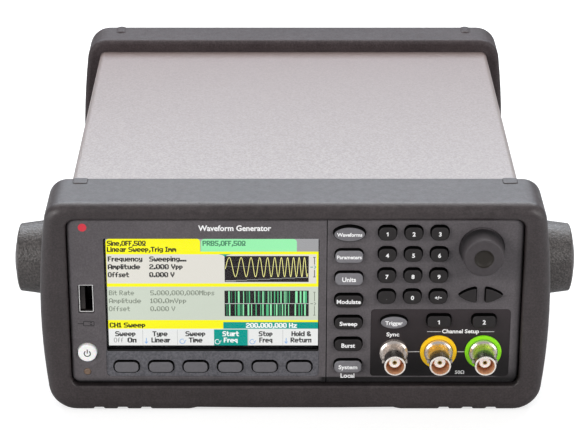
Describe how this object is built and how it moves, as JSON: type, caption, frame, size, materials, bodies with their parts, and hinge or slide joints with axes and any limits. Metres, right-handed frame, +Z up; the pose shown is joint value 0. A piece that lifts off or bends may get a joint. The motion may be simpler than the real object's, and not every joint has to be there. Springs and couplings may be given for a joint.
{
  "type": "function generator",
  "caption": "Benchtop function generator with a colour display, keypad, tuning knob, coaxial outputs, rubber bumpers and a fold-down carrying handle.",
  "frame": {"origin": "centre of the footprint, on the surface the feet stand on", "axes": "+Z up, -Y towards the user out of the front panel, +X to the right as the front is faced"},
  "size_m": [0.261, 0.2646, 0.1038],
  "materials": {
    "boss_metal": "cast",
    "bumper_rubber": "soft matt, finely grained",
    "chassis_steel": "zinc plated sheet",
    "circuit_board": "solder resist",
    "contact": "gold flashed",
    "cover_paint": "fine speckled powder coat",
    "display": "dark glass",
    "fan_plastic": "moulded",
    "grip_rubber": "soft matt",
    "handle_plastic": "fine grained moulding",
    "inlet_plastic": "moulded",
    "insulator": "white fluoropolymer",
    "key_dark": "translucent silicone",
    "key_light": "translucent silicone",
    "key_power": "translucent white",
    "key_soft": "translucent silicone",
    "knob": "soft touch",
    "label_film": "satin printed film",
    "lens": "clear polished",
    "light_pipe": "clear amber",
    "membrane": "matt silicone",
    "nickel": "bright nickel plate",
    "panel_plastic": "fine grained moulding",
    "port_metal": "tin plated",
    "ring_plastic": "coloured moulding, one yellow, one green",
    "screw_steel": "plated",
    "shaft_metal": "turned"
  },
  "bodies": {
    "instrument": {"case_screws": "screw_steel", "channel_rings": "ring_plastic", "chassis": "chassis_steel", "coax_contacts": "contact", "coax_insulators": "insulator", "coax_shells": "nickel", "connector_label": "label_film", "display_bezel": "panel_plastic", "display_lens": "lens", "display_module": "display", "fan_frame": "fan_plastic", "front_board": "circuit_board", "front_bumper": "bumper_rubber", "key_membrane": "membrane", "keypad_bezel": "panel_plastic", "main_board": "circuit_board", "mains_inlet": "inlet_plastic", "pivot_bosses": "boss_metal", "power_supply": "chassis_steel", "rear_bumper": "bumper_rubber", "rear_ports": "port_metal", "sleeve_cover": "cover_paint", "status_light": "light_pipe", "usb_port": "port_metal"},
    "carry_handle": {"carry_handle": "handle_plastic", "handle_grip": "grip_rubber"},
    "tuning_dial": {"tuning_knob": "knob", "encoder_shaft": "shaft_metal"},
    "cooling_fan": {"fan_rotor": "fan_plastic"},
    "burst_key_cap": {"burst_key": "key_dark"},
    "channel_1_key_cap": {"channel_1_key": "key_dark"},
    "channel_2_key_cap": {"channel_2_key": "key_dark"},
    "cursor_left_key_cap": {"cursor_left_key": "key_dark"},
    "cursor_right_key_cap": {"cursor_right_key": "key_dark"},
    "modulate_key_cap": {"modulate_key": "key_dark"},
    "number_key_0_cap": {"number_key_0": "key_dark"},
    "number_key_1_cap": {"number_key_1": "key_dark"},
    "number_key_2_cap": {"number_key_2": "key_dark"},
    "number_key_3_cap": {"number_key_3": "key_dark"},
    "number_key_4_cap": {"number_key_4": "key_dark"},
    "number_key_5_cap": {"number_key_5": "key_dark"},
    "number_key_6_cap": {"number_key_6": "key_dark"},
    "number_key_7_cap": {"number_key_7": "key_dark"},
    "number_key_8_cap": {"number_key_8": "key_dark"},
    "number_key_9_cap": {"number_key_9": "key_dark"},
    "number_key_point_cap": {"number_key_point": "key_dark"},
    "number_key_sign_cap": {"number_key_sign": "key_dark"},
    "parameters_key_cap": {"parameters_key": "key_light"},
    "power_key_cap": {"power_key": "key_power"},
    "soft_key_1_cap": {"soft_key_1": "key_soft"},
    "soft_key_2_cap": {"soft_key_2": "key_soft"},
    "soft_key_3_cap": {"soft_key_3": "key_soft"},
    "soft_key_4_cap": {"soft_key_4": "key_soft"},
    "soft_key_5_cap": {"soft_key_5": "key_soft"},
    "soft_key_6_cap": {"soft_key_6": "key_soft"},
    "sweep_key_cap": {"sweep_key": "key_dark"},
    "system_key_cap": {"system_key": "key_light"},
    "trigger_key_cap": {"trigger_key": "key_light"},
    "units_key_cap": {"units_key": "key_light"},
    "waveforms_key_cap": {"waveforms_key": "key_light"}
  },
  "joints": [
    {"name": "carry_handle_swing", "type": "hinge", "parent": "instrument", "child": "carry_handle", "pos_m": [0, -0.07, 0.0554], "axis": [-1, 0, 0], "range_deg": [0, 243]},
    {"name": "dial_turn", "type": "hinge", "parent": "instrument", "child": "tuning_dial", "pos_m": [0.083, -0.124, 0.0821], "axis": [0, 1, 0], "continuous": true},
    {"name": "fan_spin", "type": "hinge", "parent": "instrument", "child": "cooling_fan", "pos_m": [0.072, 0.1085, 0.066], "axis": [0, 1, 0], "continuous": true},
    {"name": "burst_key_press", "type": "slide", "parent": "instrument", "child": "burst_key_cap", "axis": [0, 1, 0], "range_m": [0, 0.0012], "stiffness_N_per_m": 600},
    {"name": "channel_1_key_press", "type": "slide", "parent": "instrument", "child": "channel_1_key_cap", "axis": [0, 1, 0], "range_m": [0, 0.0012], "stiffness_N_per_m": 600},
    {"name": "channel_2_key_press", "type": "slide", "parent": "instrument", "child": "channel_2_key_cap", "axis": [0, 1, 0], "range_m": [0, 0.0012], "stiffness_N_per_m": 600},
    {"name": "cursor_left_key_press", "type": "slide", "parent": "instrument", "child": "cursor_left_key_cap", "axis": [0, 1, 0], "range_m": [0, 0.0012], "stiffness_N_per_m": 600},
    {"name": "cursor_right_key_press", "type": "slide", "parent": "instrument", "child": "cursor_right_key_cap", "axis": [0, 1, 0], "range_m": [0, 0.0012], "stiffness_N_per_m": 600},
    {"name": "modulate_key_press", "type": "slide", "parent": "instrument", "child": "modulate_key_cap", "axis": [0, 1, 0], "range_m": [0, 0.0012], "stiffness_N_per_m": 600},
    {"name": "number_key_0_press", "type": "slide", "parent": "instrument", "child": "number_key_0_cap", "axis": [0, 1, 0], "range_m": [0, 0.0012], "stiffness_N_per_m": 600},
    {"name": "number_key_1_press", "type": "slide", "parent": "instrument", "child": "number_key_1_cap", "axis": [0, 1, 0], "range_m": [0, 0.0012], "stiffness_N_per_m": 600},
    {"name": "number_key_2_press", "type": "slide", "parent": "instrument", "child": "number_key_2_cap", "axis": [0, 1, 0], "range_m": [0, 0.0012], "stiffness_N_per_m": 600},
    {"name": "number_key_3_press", "type": "slide", "parent": "instrument", "child": "number_key_3_cap", "axis": [0, 1, 0], "range_m": [0, 0.0012], "stiffness_N_per_m": 600},
    {"name": "number_key_4_press", "type": "slide", "parent": "instrument", "child": "number_key_4_cap", "axis": [0, 1, 0], "range_m": [0, 0.0012], "stiffness_N_per_m": 600},
    {"name": "number_key_5_press", "type": "slide", "parent": "instrument", "child": "number_key_5_cap", "axis": [0, 1, 0], "range_m": [0, 0.0012], "stiffness_N_per_m": 600},
    {"name": "number_key_6_press", "type": "slide", "parent": "instrument", "child": "number_key_6_cap", "axis": [0, 1, 0], "range_m": [0, 0.0012], "stiffness_N_per_m": 600},
    {"name": "number_key_7_press", "type": "slide", "parent": "instrument", "child": "number_key_7_cap", "axis": [0, 1, 0], "range_m": [0, 0.0012], "stiffness_N_per_m": 600},
    {"name": "number_key_8_press", "type": "slide", "parent": "instrument", "child": "number_key_8_cap", "axis": [0, 1, 0], "range_m": [0, 0.0012], "stiffness_N_per_m": 600},
    {"name": "number_key_9_press", "type": "slide", "parent": "instrument", "child": "number_key_9_cap", "axis": [0, 1, 0], "range_m": [0, 0.0012], "stiffness_N_per_m": 600},
    {"name": "number_key_point_press", "type": "slide", "parent": "instrument", "child": "number_key_point_cap", "axis": [0, 1, 0], "range_m": [0, 0.0012], "stiffness_N_per_m": 600},
    {"name": "number_key_sign_press", "type": "slide", "parent": "instrument", "child": "number_key_sign_cap", "axis": [0, 1, 0], "range_m": [0, 0.0012], "stiffness_N_per_m": 600},
    {"name": "parameters_key_press", "type": "slide", "parent": "instrument", "child": "parameters_key_cap", "axis": [0, 1, 0], "range_m": [0, 0.0012], "stiffness_N_per_m": 600},
    {"name": "power_key_press", "type": "slide", "parent": "instrument", "child": "power_key_cap", "axis": [0, 1, 0], "range_m": [0, 0.0012], "stiffness_N_per_m": 600},
    {"name": "soft_key_1_press", "type": "slide", "parent": "instrument", "child": "soft_key_1_cap", "axis": [0, 1, 0], "range_m": [0, 0.0012], "stiffness_N_per_m": 600},
    {"name": "soft_key_2_press", "type": "slide", "parent": "instrument", "child": "soft_key_2_cap", "axis": [0, 1, 0], "range_m": [0, 0.0012], "stiffness_N_per_m": 600},
    {"name": "soft_key_3_press", "type": "slide", "parent": "instrument", "child": "soft_key_3_cap", "axis": [0, 1, 0], "range_m": [0, 0.0012], "stiffness_N_per_m": 600},
    {"name": "soft_key_4_press", "type": "slide", "parent": "instrument", "child": "soft_key_4_cap", "axis": [0, 1, 0], "range_m": [0, 0.0012], "stiffness_N_per_m": 600},
    {"name": "soft_key_5_press", "type": "slide", "parent": "instrument", "child": "soft_key_5_cap", "axis": [0, 1, 0], "range_m": [0, 0.0012], "stiffness_N_per_m": 600},
    {"name": "soft_key_6_press", "type": "slide", "parent": "instrument", "child": "soft_key_6_cap", "axis": [0, 1, 0], "range_m": [0, 0.0012], "stiffness_N_per_m": 600},
    {"name": "sweep_key_press", "type": "slide", "parent": "instrument", "child": "sweep_key_cap", "axis": [0, 1, 0], "range_m": [0, 0.0012], "stiffness_N_per_m": 600},
    {"name": "system_key_press", "type": "slide", "parent": "instrument", "child": "system_key_cap", "axis": [0, 1, 0], "range_m": [0, 0.0012], "stiffness_N_per_m": 600},
    {"name": "trigger_key_press", "type": "slide", "parent": "instrument", "child": "trigger_key_cap", "axis": [0, 1, 0], "range_m": [0, 0.0012], "stiffness_N_per_m": 600},
    {"name": "units_key_press", "type": "slide", "parent": "instrument", "child": "units_key_cap", "axis": [0, 1, 0], "range_m": [0, 0.0012], "stiffness_N_per_m": 600},
    {"name": "waveforms_key_press", "type": "slide", "parent": "instrument", "child": "waveforms_key_cap", "axis": [0, 1, 0], "range_m": [0, 0.0012], "stiffness_N_per_m": 600}
  ]
}
